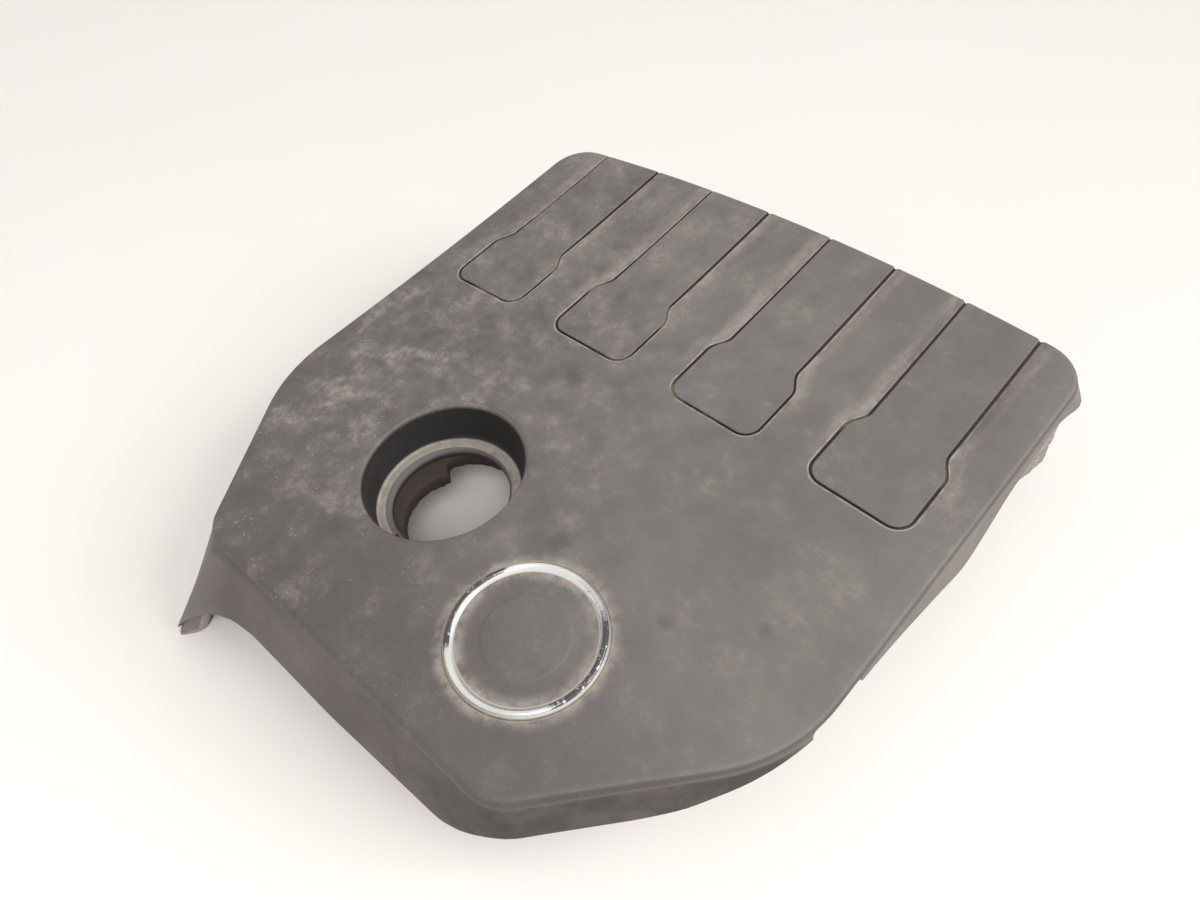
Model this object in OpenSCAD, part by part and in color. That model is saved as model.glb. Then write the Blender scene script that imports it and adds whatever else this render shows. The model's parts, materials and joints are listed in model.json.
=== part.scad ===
// Engine cover for an inline four-cylinder engine.
// Units are millimetres, +Z is up, +Y points to the rear edge with the four fingers,
// +X is the right-hand side seen from the front. The origin lies in the resting plane,
// on the symmetry line of the fingers and near the middle of the whole outline.

/* [Plan outline] */
// Right edge of the top, measured from the finger symmetry line
right_w = 190; // [184:0.5:196]
// Left edge of the top, measured from the finger symmetry line
left_w = 193.5; // [188:0.5:200]
// How far the left shoulder stands out past the rear end of the left edge
left_bulge = 1.6; // [0:0.2:3]
// Rear end of both side edges
rear_y = 203; // [196:0.5:208]
// How far the middle of the rear edge bows out past its ends
rear_bow = 6; // [2:0.5:9]
// Front edge of the top, a distance in front of the origin
front_y = 167; // [163:0.5:172]
// Where the side edges turn into the front diagonals
shoulder_y = 66; // [58:1:74]
// Right end of the front edge
front_right_x = 104.5; // [98:0.5:110]
// Left end of the front edge
front_left_x = 122; // [117:0.5:127]
// Corner radius at the rear
rear_r = 23; // [18:1:28]
// Corner radius at the shoulders
shoulder_r = 92; // [70:1:105]
// Corner radius at the front
front_r = 27; // [20:1:34]

/* [Top] */
// Height of the top at its front edge
top_front = 70.7; // [68:0.1:74]
// How much higher the rear edge is than the front edge
rear_rise = 24; // [18:0.5:28]
// Share of that rise that is curvature, the rest is slope
rise_bend = 0.71; // [0.5:0.01:0.9]
// How far the top falls off from the middle to its side edges
side_drop = 7.6; // [5:0.2:10]
// Wall thickness of the moulding
wall = 2.6; // [2.2:0.1:3.2]
// Fillet radius from the top to the skirt
edge_r = 6; // [4:0.5:7]

/* [Skirt] */
// Skirt depth at the rear corners
rear_skirt = 22; // [16:1:28]
// Skirt depth along the shallow stretches of the right side
side_skirt = 11; // [10:0.5:13]
// Skirt depth at the dip half way along the right side
side_dip = 28; // [20:1:32]
// Skirt depth along the right front diagonal
diagonal_skirt = 33; // [28:1:38]
// Skirt depth along the front
front_skirt = 46; // [40:1:50]
// Skirt depth in the arch beside the front left leg
arch_skirt = 41; // [36:1:45]
// Skirt depth along the left side
left_skirt = 30; // [24:1:36]
// Outward flare of the front left leg at its foot
leg_flare = 46; // [40:1:50]
// Outward flare of the front skirt at its lower edge
front_flare = 14; // [10:0.5:18]
// Outward flare of the rear right corner at its lower edge
corner_flare = 9; // [6:0.5:11]
// Front end of the raised notch in the right skirt
notch_y = -51; // [-54:1:-48]
// Length of the raised notch in the right skirt
notch_len = 36; // [28:1:44]
// Depth of the edge that is left above the notch
notch_skirt = 3; // [2.8:0.1:4]

/* [Fingers] */
// Distance between finger centre lines, the bore spacing of the engine
pitch = 91.4; // [89:0.1:93]
// Finger width along its narrow part
finger_w = 45.3; // [40:0.1:50]
// Finger width at its flared head
head_w = 58; // [54:0.1:64]
// Front end of the finger heads
head_y = 55.2; // [48:0.2:62]
// Front end of the step between head and narrow part
step_y = 93.3; // [88:0.1:98]
// Length of the step between head and narrow part
step_len = 15; // [11:0.5:19]
// Corner radius of the finger heads
head_r = 10; // [6:0.5:14]
// Width of the groove round a finger
groove_w = 1.5; // [1.2:0.1:2]
// Depth of the groove round a finger
groove_d = 1.4; // [1:0.1:1.6]
// Depth of the shallow channel beside each narrow part
channel_d = 0.9; // [0.5:0.1:1.2]
// Radius of the shallow channel beside each narrow part
channel_r = 34; // [24:1:40]

/* [Oil filler well] */
// Well centre in X
well_x = -46.2; // [-50:0.2:-42]
// Well centre in Y
well_y = -58.5; // [-62:0.5:-55]
// Radius of the well at its rim
rim_r = 45.7; // [43:0.1:47]
// Rounding of the rim
rim_round = 3; // [2:0.25:4]
// Radius at the foot of the tapered wall
ledge_r = 38; // [36:0.5:40]
// Depth of the ledge below the top
ledge_depth = 17; // [14:0.5:20]
// Radius of the opening inside the collar
collar_r = 30; // [28:0.25:31]
// Length of the collar below the ledge
collar_len = 8; // [6:0.5:10]

/* [Badge] */
// Badge centre in X
badge_x = 62; // [58:0.5:66]
// Badge centre in Y
badge_y = -100; // [-103:0.5:-97]
// Badge diameter
badge_d = 80; // [76:1:82]
// Width of the bright bezel
bezel_w = 5; // [4:0.5:7]
// Height of the bezel above the top
bezel_h = 2.6; // [2:0.1:3.5]
// Depth of the seat let into the top
seat_d = 1; // [0.8:0.1:1.2]
// Radial gap between the badge and its seat
seat_gap = 0.25; // [0.15:0.05:0.4]
// Radius of the badge locating pins
pin_r = 1.6; // [1.2:0.1:2]

/* [Foam] */
// Rear face of the foam block
foam_rear = 171; // [165:1:177]
// Distance from the side edges of the top to the sides of the foam pad
foam_inset = 14; // [12:1:20]
// Front face of the foam block
foam_front = 99; // [96:1:103]
// Underside of the foam pad
pad_z = 30; // [26:1:34]
// Half width of the deep foam foot at the rear
foot_half = 108; // [90:1:112]
// Front end of the foam shoulders, where they meet the skin
shoulder_front = 100; // [94:1:106]
// Underside of the foam shoulders at their rear end
shoulder_z = 34; // [30:1:40]
// How far the foam shoulders reach behind the foam pad
shoulder_rear = 4.5; // [0:0.5:6]
// Gap between the foam shoulders and the skirt
foam_gap = 0.6; // [0.4:0.1:1.2]
// Front face of the deep foam foot
foot_front = 62; // [54:1:72]
// Radius of the filler opening in the foam
foam_hole_r = 31; // [30.5:0.25:32]
// Radius of the tongue edge that reaches into the filler opening
tongue_r = 28; // [27:0.25:28.5]
// How far the tongue edge is shifted, to the right and to the front
tongue_shift = 4; // [3:0.25:5]

/* [Mounts] */
// Distance from the side edges of the top to the rear grommets
mount_side = 54; // [50:1:60]
// Distance from the rear edge of the top to the rear grommets
mount_rear = 71; // [66:1:77]
// Distance from the ends of the front edge to the front grommets
mount_corner = 15; // [13:0.5:18]
// Distance from the front edge of the top to the front grommets
mount_front = 37; // [36:0.5:40]
// Lower end of the grommet towers
tower_z = 40; // [37:1:43]
// Outer radius of a grommet
grommet_r = 11; // [10:0.25:12]
// Length of a grommet inside its tower
grommet_len = 12; // [10:0.5:14]
// Radius of the grommet lip
lip_r = 14; // [13.5:0.25:15]
// Thickness of the grommet lip
lip_t = 2.5; // [2:0.25:3]
// Radius of the ball stud hole in a grommet
stud_r = 5; // [4.5:0.1:5.5]
// Depth of the ball stud hole in a grommet
stud_len = 10; // [9:0.5:11]
// Radial gap between a grommet and its tower
tower_gap = 0.15; // [0.1:0.05:0.25]
// Wall thickness of the towers
tower_wall = 2.8; // [2.2:0.1:3.2]

/* [Hidden] */
$fn = 72;

arc_n = 6;
edge_n = [14, 7, 12, 8, 7, 10];
rise_slope = rear_rise * (1 - rise_bend);
rise_curve = rear_rise * rise_bend;
top_len = front_y + rear_y;
leg_depth = top_z(-front_left_x, -front_y);
foam_len = foam_front + foam_rear;
foam_right = right_w - foam_inset;
foam_left = left_w - foam_inset;
foam_sag = rise_curve * pow(foam_len / top_len, 2) / 4;
foam_top = top_z(foam_left, -foam_front) - edge_r - foam_sag;
foam_top_rear = top_z(right_w, foam_rear) - edge_r - foam_sag;
foam_rise = atan((foam_top_rear - foam_top) / foam_len);
centre = [0, 20];
pad_r = 9;

corners = [
    [right_w, rear_y, rear_r],
    [right_w - 1, -shoulder_y, shoulder_r],
    [front_right_x, -front_y, front_r],
    [-front_left_x, -front_y, front_r],
    [-left_w - left_bulge, -shoulder_y, shoulder_r],
    [-left_w, rear_y, rear_r]
];

// Depth of the skirt round the outline: 0 is the rear right corner, 1 the right
// shoulder, 2 the front right corner, 3 the leg, 4 the left shoulder, 5 the rear left
skirt_depths = [
    [0, rear_skirt],
    [0.19, side_skirt],
    [0.36, side_skirt + 1],
    [0.46, side_dip],
    [0.5, side_dip],
    [0.57, side_dip - 7.5],
    [0.69, side_skirt],
    [0.78, side_skirt - 3.5],
    [0.97, side_skirt - 3],
    [1.03, side_skirt],
    [1.1, diagonal_skirt * 0.5],
    [1.16, diagonal_skirt * 0.67],
    [1.26, diagonal_skirt * 0.91],
    [1.43, diagonal_skirt],
    [1.8, diagonal_skirt - 2],
    [1.86, diagonal_skirt - 4.5],
    [1.98, diagonal_skirt - 8],
    [2.08, diagonal_skirt - 5.5],
    [2.15, diagonal_skirt + 1],
    [2.22, front_skirt],
    [2.5, front_skirt + 2],
    [2.74, arch_skirt + 1],
    [2.8, arch_skirt],
    [2.85, arch_skirt + 0.5],
    [2.9, arch_skirt + 4.5],
    [2.945, leg_depth],
    [3, leg_depth],
    [3.06, leg_depth - 2],
    [3.15, leg_depth - 10],
    [3.3, left_skirt + 20],
    [3.6, left_skirt + 8],
    [4, left_skirt],
    [5.3, rear_skirt],
    [6, rear_skirt]
];

// Outward flare of the lower edge, counted the same way
skirt_flares = [
    [0, corner_flare],
    [0.06, corner_flare * 0.65],
    [0.12, corner_flare * 0.3],
    [0.2, 0.6],
    [0.5, 3],
    [0.8, 0.6],
    [1.2, 2.6],
    [1.8, 3.5],
    [2, front_flare - 7.5],
    [2.12, front_flare - 6],
    [2.2, front_flare - 1.8],
    [2.5, front_flare + 1.7],
    [2.74, front_flare + 2.6],
    [2.8, front_flare + 5],
    [2.85, leg_flare * 0.54],
    [2.9, leg_flare * 0.71],
    [2.95, leg_flare],
    [3, leg_flare * 0.97],
    [3.06, leg_flare * 0.91],
    [3.15, leg_flare * 0.78],
    [3.3, leg_flare * 0.56],
    [3.6, leg_flare * 0.28],
    [4, 3.4],
    [5, 3],
    [5.8, 3.5],
    [5.93, corner_flare - 1],
    [6, corner_flare]
];

// Height, slopes and local frame of the top

function top_z(x, y) =
    let (t = (y + front_y) / top_len)
    top_front + rise_slope * t + rise_curve * t * t - side_drop * pow(x / right_w, 2);

function slope_x(x) = -2 * side_drop * x / pow(right_w, 2);

function slope_y(y) =
    (rise_slope + 2 * rise_curve * (y + front_y) / top_len) / top_len;

module on_top(x, y) {
    translate([x, y, top_z(x, y)])
        rotate([atan(slope_y(y)), -atan(slope_x(x)), 0])
            children();
}

// Plan outline as a list of [x, y, position round the outline]

function unit(v) = v / norm(v);

function turn_from(v) = atan2(v.y, v.x);

function wrap(a) = a > 180 ? a - 360 : (a < -180 ? a + 360 : a);

function flat(v) = [v[0], v[1]];

function reach(i) =
    let (
        n = len(corners),
        p = flat(corners[i % n]),
        a = unit(flat(corners[(i + n - 1) % n]) - p),
        b = unit(flat(corners[(i + 1) % n]) - p)
    )
    corners[i % n][2] / tan(acos(a * b) / 2);

function bowed(x, y, s) =
    let (blend = min(1, max(0, (y - rear_y + 50) / 50)))
    [x, y + rear_bow * blend * max(0, 1 - pow(x / left_w, 2)), s];

function corner_points(i) =
    let (
        n = len(corners),
        p = flat(corners[i]),
        a = unit(flat(corners[(i + n - 1) % n]) - p),
        b = unit(flat(corners[(i + 1) % n]) - p),
        r = corners[i][2],
        c = p + unit(a + b) * r / sin(acos(a * b) / 2),
        t1 = turn_from(p + a * reach(i) - c),
        dt = wrap(turn_from(p + b * reach(i) - c) - t1)
    )
    [for (k = [0:arc_n])
        bowed(c.x + r * cos(t1 + dt * k / arc_n), c.y + r * sin(t1 + dt * k / arc_n),
            i - 0.15 + 0.3 * k / arc_n)];

function edge_points(i) =
    let (
        n = len(corners),
        p = flat(corners[i]),
        q = flat(corners[(i + 1) % n]),
        d = unit(q - p),
        a = p + d * reach(i),
        b = q - d * reach(i + 1)
    )
    [for (k = [1:edge_n[i] - 1])
        bowed(a.x + (b.x - a.x) * k / edge_n[i], a.y + (b.y - a.y) * k / edge_n[i],
            i + 0.15 + 0.7 * k / edge_n[i])];

outline = [for (i = [0:len(corners) - 1]) each concat(corner_points(i), edge_points(i))];
count = len(outline);

normals = [for (i = [0:count - 1])
    let (d = unit(flat(outline[(i + 1) % count]) - flat(outline[(i + count - 1) % count])))
    [-d.y, d.x]];

function at(s) = s < 0 ? s + 6 : s;

function depth_at(i) = lookup(at(outline[i][2]), skirt_depths);

function flare_at(i) = lookup(at(outline[i][2]), skirt_flares);

// Rings of the skin. A ring is moved outward by out and down from the top by down

function ring(out, down) = [for (i = [0:count - 1])
    let (x = outline[i][0] + normals[i].x * out, y = outline[i][1] + normals[i].y * out)
    [x, y, top_z(x, y) - down]];

function inner_ring(f, inset, down) = [for (i = [0:count - 1])
    let (
        x = centre.x + (outline[i][0] - normals[i].x * inset - centre.x) * f,
        y = centre.y + (outline[i][1] - normals[i].y * inset - centre.y) * f
    )
    [x, y, top_z(x, y) - down]];

function level_ring(inset, z) = [for (i = [0:count - 1])
    [outline[i][0] - normals[i].x * inset, outline[i][1] - normals[i].y * inset, z]];

function skirt_ring(f, inset) = [for (i = [0:count - 1])
    let (
        top = top_z(outline[i][0], outline[i][1]),
        out = flare_at(i) * f - inset,
        down = edge_r + (depth_at(i) - edge_r) * f
    )
    [outline[i][0] + normals[i].x * out, outline[i][1] + normals[i].y * out,
        max(0, top - down)]];

function quads(a, b, n) = [for (i = [0:n - 1]) each [
    [a * n + i, b * n + i, a * n + (i + 1) % n],
    [a * n + (i + 1) % n, b * n + i, b * n + (i + 1) % n]
]];

// Closed body from rings, with a middle point at each end
module ringed(rings, first, last) {
    m = len(rings);
    n = len(rings[0]);
    polyhedron(
        points = concat([for (r = rings) each r], [first, last]),
        faces = concat(
            [for (i = [0:n - 1]) [m * n, i, (i + 1) % n]],
            [for (k = [0:m - 2]) each quads(k, k + 1, n)],
            [for (i = [0:n - 1]) [m * n + 1, (m - 1) * n + (i + 1) % n, (m - 1) * n + i]]
        ),
        convexity = 8
    );
}

// The moulded skin: crowned top, rounded edge and skirt, open underneath
module skin() {
    mid = top_z(centre.x, centre.y);
    ringed(
        [
            inner_ring(0.3, edge_r, 0),
            inner_ring(0.6, edge_r, 0),
            inner_ring(0.85, edge_r, 0),
            ring(-edge_r, 0),
            ring(-edge_r * 0.5, edge_r * 0.13),
            ring(-edge_r * 0.13, edge_r * 0.5),
            skirt_ring(0, 0),
            skirt_ring(0.35, 0),
            skirt_ring(0.7, 0),
            skirt_ring(1, 0),
            skirt_ring(1, wall),
            skirt_ring(0.7, wall),
            skirt_ring(0.35, wall),
            skirt_ring(0.04, wall),
            ring(-edge_r, wall),
            inner_ring(0.85, edge_r, wall),
            inner_ring(0.6, edge_r, wall),
            inner_ring(0.3, edge_r, wall)
        ],
        [centre.x, centre.y, mid],
        [centre.x, centre.y, mid - wall]
    );
}

// Room under the skin, reaching half way into the wall: trims ribs and towers
module under_skin() {
    mid = top_z(centre.x, centre.y);
    ringed(
        [
            inner_ring(0.3, edge_r, wall / 2),
            inner_ring(0.6, edge_r, wall / 2),
            inner_ring(0.85, edge_r, wall / 2),
            ring(-edge_r, wall / 2),
            level_ring(edge_r, tower_z)
        ],
        [centre.x, centre.y, mid - wall / 2],
        [centre.x, centre.y, tower_z]
    );
}

// Outline of a finger, grown by e all round, in the frame of its on_top point
function finger_side(e, y0) = concat(
    [[finger_w / 2 + e, rear_y + 30 - y0]],
    [for (k = [0:6])
        let (f = k / 6)
        [(finger_w + (head_w - finger_w) * (1 - cos(180 * f)) / 2) / 2 + e,
            step_y + step_len * (1 - f) - y0]],
    [for (k = [0:6])
        [head_w / 2 - head_r + (head_r + e) * cos(15 * k),
            head_y + head_r - (head_r + e) * sin(15 * k) - y0]]
);

module finger_shape(e, y0) {
    side = finger_side(e, y0);
    n = len(side);
    polygon(concat(side, [for (k = [n - 1:-1:0]) [-side[k].x, side[k].y]]));
}

// Groove round one finger and the two shallow channels beside it
module finger_cuts(x) {
    y0 = (head_y + rear_y) / 2;
    e = groove_w / 2;
    on_top(x, y0) {
        translate([0, 0, -groove_d])
            linear_extrude(height = groove_d + 5)
                difference() {
                    finger_shape(e, y0);
                    finger_shape(-e, y0);
                }
        difference() {
            for (side = [-1, 1])
                translate([side * (finger_w / 2 + 2), step_y + step_len - y0, channel_r - 0.1])
                    rotate([-90 - atan(channel_d / (rear_y - step_y)), 0, 0])
                        cylinder(r = channel_r, h = rear_y + 30 - step_y, $fn = 90);
            translate([0, 0, -9])
                linear_extrude(height = 30)
                    finger_shape(0, y0);
        }
    }
}

// Section of the well, from the rim down; r and z in the frame of the well
module well_cut() {
    depth = ledge_depth + collar_len + 20;
    rotate_extrude()
        polygon(concat(
            [[0, 6], [rim_r + rim_round, 6]],
            [for (k = [0:5])
                [rim_r + rim_round - rim_round * sin(18 * k), rim_round * (cos(18 * k) - 1)]],
            [[ledge_r, -ledge_depth], [collar_r, -ledge_depth], [collar_r, -depth], [0, -depth]]
        ));
}

module well_cup() {
    foot = ledge_depth + wall;
    rotate_extrude()
        polygon([
            [collar_r - 1, -wall], [rim_r + rim_round + 0.5, -wall / 2],
            [rim_r + wall, -rim_round - wall], [ledge_r + wall, -foot],
            [collar_r + 2.2, -foot], [collar_r + 2.2, -foot - collar_len + wall],
            [collar_r - 1, -foot - collar_len + wall]
        ]);
}

mounts = [
    [-front_left_x + mount_corner, -front_y + mount_front],
    [front_right_x - mount_corner, -front_y + mount_front],
    [-left_w + mount_side, rear_y - mount_rear],
    [right_w - mount_side, rear_y - mount_rear]
];

module foam_frame() {
    translate([0, -foam_front, foam_top])
        rotate([foam_rise, 0, 0])
            children();
}

// Glue pads that come down from the skin to the top of the foam
module glue_pads() {
    for (x = [-0.85 * foam_left, -0.28 * foam_left, 0.28 * foam_right, 0.85 * foam_right],
        y = [foam_len * 0.22, foam_len * 0.85])
        foam_frame()
            translate([x, y, 0])
                cylinder(r = pad_r, h = 30);
}

module ribs() {
    for (x = [-75, -35, 5, 45])
        translate([x, -front_y + 2, top_front - 16])
            cube([1.8, front_y - foam_front - 4, 40]);
    translate([-front_left_x + 4, -front_y + 22, top_front - 14])
        cube([front_left_x + front_right_x - 12, 1.8, 40]);
    for (m = mounts)
        for (a = [0, 90])
            translate([m.x, m.y, tower_z + 12])
                rotate([0, 0, a + 45])
                    translate([-20, -0.9, 0])
                        cube([40, 1.8, 60]);
}

module tower(m) {
    translate([m.x, m.y, tower_z - 1])
        cylinder(r = grommet_r + tower_gap + tower_wall, h = 80);
}

module tower_bore(m) {
    translate([m.x, m.y, tower_z - 1])
        cylinder(r = grommet_r + tower_gap, h = grommet_len + 1.3);
    translate([m.x, m.y, tower_z])
        cylinder(r = grommet_r - 3, h = grommet_len + 5);
}

module badge_pins(r) {
    for (a = [30, 150, 270])
        rotate([0, 0, a])
            translate([badge_d / 2 - bezel_w - 4, 0, -wall - 1.5])
                cylinder(r = r, h = wall + 1.5 - seat_d + 0.2, $fn = 24);
}

module cover_shell() {
    color("#3f3f41")
    difference() {
        union() {
            skin();
            on_top(well_x, well_y)
                well_cup();
            intersection() {
                under_skin();
                union() {
                    ribs();
                    glue_pads();
                    for (m = mounts)
                        tower(m);
                }
            }
        }
        on_top(well_x, well_y)
            well_cut();
        for (k = [0:3])
            finger_cuts((k - 1.5) * pitch);
        on_top(badge_x, badge_y) {
            translate([0, 0, -seat_d])
                cylinder(r = badge_d / 2 + seat_gap, h = 6);
            badge_pins(pin_r + 0.2);
        }
        on_top(right_w, notch_y + notch_len / 2)
            translate([-wall - 9, -notch_len / 2, -notch_skirt - side_dip])
                cube([40, notch_len, side_dip]);
        for (m = mounts)
            tower_bore(m);
    }
}

module foam_plan() {
    polygon([
        [foam_right, foam_rear], [foam_right, -shoulder_y + 30],
        [front_right_x + 24, -foam_front], [-front_left_x - 24, -foam_front],
        [-foam_left, -shoulder_y + 26], [-foam_left, foam_rear]
    ]);
}

// Shoulder that fills the space under one side of the skirt, wedge shaped at the front
module foam_shoulder(x) {
    y = foam_rear + shoulder_rear;
    translate([x > 0 ? x - 60 : x, 0, 0])
        rotate([90, 0, 90])
            linear_extrude(height = 60)
                polygon([
                    [y, shoulder_z], [y, 110],
                    [shoulder_front, 110], [shoulder_front, top_front + 4]
                ]);
}

// The right shoulder comes out below the shallow skirt, flush with the side edge
module foam_lip() {
    y = foam_rear + shoulder_rear;
    low = side_skirt + 1.6 + foam_gap;
    translate([right_w - 60, 0, 0])
        rotate([90, 0, 90])
            linear_extrude(height = 60)
                polygon([
                    [y, shoulder_z], [y, top_z(right_w, y) - low],
                    [shoulder_front + 17, top_z(right_w, shoulder_front + 17) - low]
                ]);
}

// Filler opening of the foam: a round hole with a stepped tongue on its left
module foam_hole() {
    translate([tongue_shift, -tongue_shift])
        circle(r = tongue_r);
    difference() {
        circle(r = foam_hole_r);
        polygon([[0, 0], [-52, 30], [-60, -20], [-14, -52]]);
    }
}

module acoustic_foam() {
    color("#a89a92")
    difference() {
        intersection() {
            union() {
                translate([0, 0, pad_z])
                    linear_extrude(height = 90)
                        foam_plan();
                foam_shoulder(right_w - wall - foam_gap);
                foam_shoulder(-left_w + wall + foam_gap);
                foam_lip();
                translate([-foot_half, foot_front, 0])
                    cube([2 * foot_half, foam_rear - foot_front - 12, 60]);
            }
            foam_frame()
                translate([-left_w - 50, -front_y, -150])
                    cube([left_w + right_w + 100, front_y + rear_y + 150, 150]);
        }
        on_top(well_x, well_y) {
            translate([0, 0, -120])
                linear_extrude(height = 140)
                    foam_hole();
            translate([0, 0, -ledge_depth - collar_len - wall])
                cylinder(r = rim_r + wall + 2, h = 60);
        }
        for (m = [mounts[2], mounts[3]])
            translate([m.x, m.y, -1])
                cylinder(r = grommet_r + tower_gap + tower_wall + 8, h = 120);
    }
}

module badge() {
    r = badge_d / 2;
    color("#d5d7da")
    on_top(badge_x, badge_y) {
        rotate_extrude()
            polygon(concat(
                [[0, -seat_d], [r, -seat_d], [r, bezel_h * 0.4]],
                [for (k = [0:6])
                    [r - bezel_w / 2 + bezel_w / 2 * cos(30 * k),
                        bezel_h * 0.4 + bezel_h * 0.6 * sin(30 * k)]],
                [[r - bezel_w - 0.6, 0.3], [r * 0.55, 0.5], [r * 0.55 - 0.8, 1.1], [0, 1.5]]
            ));
        badge_pins(pin_r);
    }
}

module grommet(m) {
    translate([m.x, m.y, tower_z])
        rotate_extrude()
            difference() {
                union() {
                    square([grommet_r, grommet_len]);
                    translate([0, -lip_t])
                        square([lip_r, lip_t]);
                }
                translate([-1, -lip_t - 1])
                    square([stud_r + 1, stud_len + 1]);
            }
}

module front_left_grommet() {
    color("#1b1b1c")
        grommet(mounts[0]);
}

module front_right_grommet() {
    color("#1b1b1c")
        grommet(mounts[1]);
}

module rear_left_grommet() {
    color("#1b1b1c")
        grommet(mounts[2]);
}

module rear_right_grommet() {
    color("#1b1b1c")
        grommet(mounts[3]);
}

cover_shell();
acoustic_foam();
badge();
front_left_grommet();
front_right_grommet();
rear_left_grommet();
rear_right_grommet();
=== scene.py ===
import json
import math

import bmesh
import bpy
from mathutils import Matrix, Vector, noise
from mathutils.kdtree import KDTree

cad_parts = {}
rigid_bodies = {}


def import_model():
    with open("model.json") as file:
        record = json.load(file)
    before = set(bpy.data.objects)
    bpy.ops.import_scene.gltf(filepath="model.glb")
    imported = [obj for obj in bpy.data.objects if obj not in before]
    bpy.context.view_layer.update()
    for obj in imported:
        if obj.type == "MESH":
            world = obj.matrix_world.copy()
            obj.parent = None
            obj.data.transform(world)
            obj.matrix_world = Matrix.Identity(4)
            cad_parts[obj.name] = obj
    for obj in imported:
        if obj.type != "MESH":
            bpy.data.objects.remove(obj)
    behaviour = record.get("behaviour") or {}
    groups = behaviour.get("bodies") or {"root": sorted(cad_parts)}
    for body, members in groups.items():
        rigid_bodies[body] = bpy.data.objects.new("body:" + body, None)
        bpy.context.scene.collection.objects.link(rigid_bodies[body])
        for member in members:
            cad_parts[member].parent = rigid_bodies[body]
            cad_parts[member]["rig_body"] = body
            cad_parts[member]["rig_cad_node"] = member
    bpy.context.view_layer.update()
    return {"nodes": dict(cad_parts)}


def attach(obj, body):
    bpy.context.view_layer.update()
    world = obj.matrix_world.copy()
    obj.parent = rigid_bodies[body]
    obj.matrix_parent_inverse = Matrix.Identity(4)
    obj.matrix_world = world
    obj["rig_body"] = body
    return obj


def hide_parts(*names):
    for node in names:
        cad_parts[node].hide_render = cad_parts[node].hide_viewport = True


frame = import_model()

mm = 0.001
weldReach = 0.01 * mm
sceneNow = bpy.context.scene
sceneNow.view_settings.view_transform = "Standard"
print("stage: frame loaded")


# camera, at the place and angle of the picture

cameraSize = {
    "place": (251.94, -203.86, 445.13),
    "azimuth": 48.905,
    "elevation": 49.511,
    "roll": -8.138,
    "lens": 27.0,
}


def addCamera(size):
    a, e, r = (math.radians(size[k]) for k in ("azimuth", "elevation", "roll"))
    back = Vector((math.sin(a) * math.cos(e), -math.cos(a) * math.cos(e), math.sin(e)))
    right = Vector((math.cos(a), math.sin(a), 0))
    up = back.cross(right)
    turnedRight = right * math.cos(r) + up * math.sin(r)
    turnedUp = up * math.cos(r) - right * math.sin(r)
    bpy.ops.object.camera_add()
    camera = bpy.context.object
    camera.name = "pictureCamera"
    axes = Matrix((turnedRight, turnedUp, back)).transposed()
    camera.matrix_world = Matrix.Translation(Vector(size["place"]) * mm) @ axes.to_4x4()
    camera.data.lens = size["lens"]
    camera.data.sensor_width = 36
    camera.data.clip_start = 0.01
    sceneNow.camera = camera


addCamera(cameraSize)
print("stage: camera")


# small helpers for modelling

def choose(*pieces):
    if bpy.context.mode != "OBJECT":
        bpy.ops.object.mode_set(mode="OBJECT")
    bpy.ops.object.select_all(action="DESELECT")
    for piece in pieces:
        piece.select_set(True)
    if pieces:
        bpy.context.view_layer.objects.active = pieces[-1]


def key(place):
    return (round(place[0], 7), round(place[1], 7), round(place[2], 7))


# A circle primitive is put on the first ring and extruded to each further ring.
# ends is "fill" for a face at both ends, "centre" for a fan to a middle point,
# or "join" where the last ring meets the first again.
def ringPiece(name, rings, ends="fill"):
    choose()
    bpy.ops.mesh.primitive_circle_add(vertices=len(rings[0]), radius=1, fill_type="NOTHING")
    piece = bpy.context.object
    piece.name = name
    bpy.ops.object.mode_set(mode="EDIT")
    bpy.ops.mesh.select_mode(type="VERT")
    bpy.ops.mesh.select_all(action="SELECT")
    mesh = bmesh.from_edit_mesh(piece.data)
    mesh.verts.ensure_lookup_table()
    for vert, place in zip(mesh.verts, rings[0]):
        vert.co = place
    for before, ring in zip(rings, rings[1:]):
        bpy.ops.mesh.extrude_region_move()
        mesh = bmesh.from_edit_mesh(piece.data)
        target = {key(a): b for a, b in zip(before, ring)}
        for vert in mesh.verts:
            if vert.select:
                vert.co = target[key(vert.co)]
    if ends == "join":
        closeRings(piece)
    else:
        for ring in (rings[-1], rings[0]):
            selectRing(piece, ring)
            if ends == "centre":
                bpy.ops.mesh.extrude_region_move()
                bpy.ops.mesh.merge(type="CENTER")
            else:
                bpy.ops.mesh.edge_face_add()
    faceOutward(piece)
    return piece


def faceOutward(piece):
    bpy.ops.mesh.select_all(action="SELECT")
    bpy.ops.mesh.normals_make_consistent(inside=False)
    if bmesh.from_edit_mesh(piece.data).calc_volume(signed=True) < 0:
        bpy.ops.mesh.flip_normals()
    bpy.ops.object.mode_set(mode="OBJECT")


def selectRing(piece, ring):
    bpy.ops.mesh.select_all(action="DESELECT")
    mesh = bmesh.from_edit_mesh(piece.data)
    wanted = {key(p) for p in ring}
    for vert in mesh.verts:
        vert.select = key(vert.co) in wanted
    mesh.select_flush(True)
    bmesh.update_edit_mesh(piece.data)


def closeRings(piece):
    bpy.ops.mesh.select_all(action="DESELECT")
    mesh = bmesh.from_edit_mesh(piece.data)
    for edge in mesh.edges:
        if edge.is_boundary or edge.is_wire:
            edge.select = True
    bmesh.update_edit_mesh(piece.data)
    bpy.ops.mesh.bridge_edge_loops()


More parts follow.
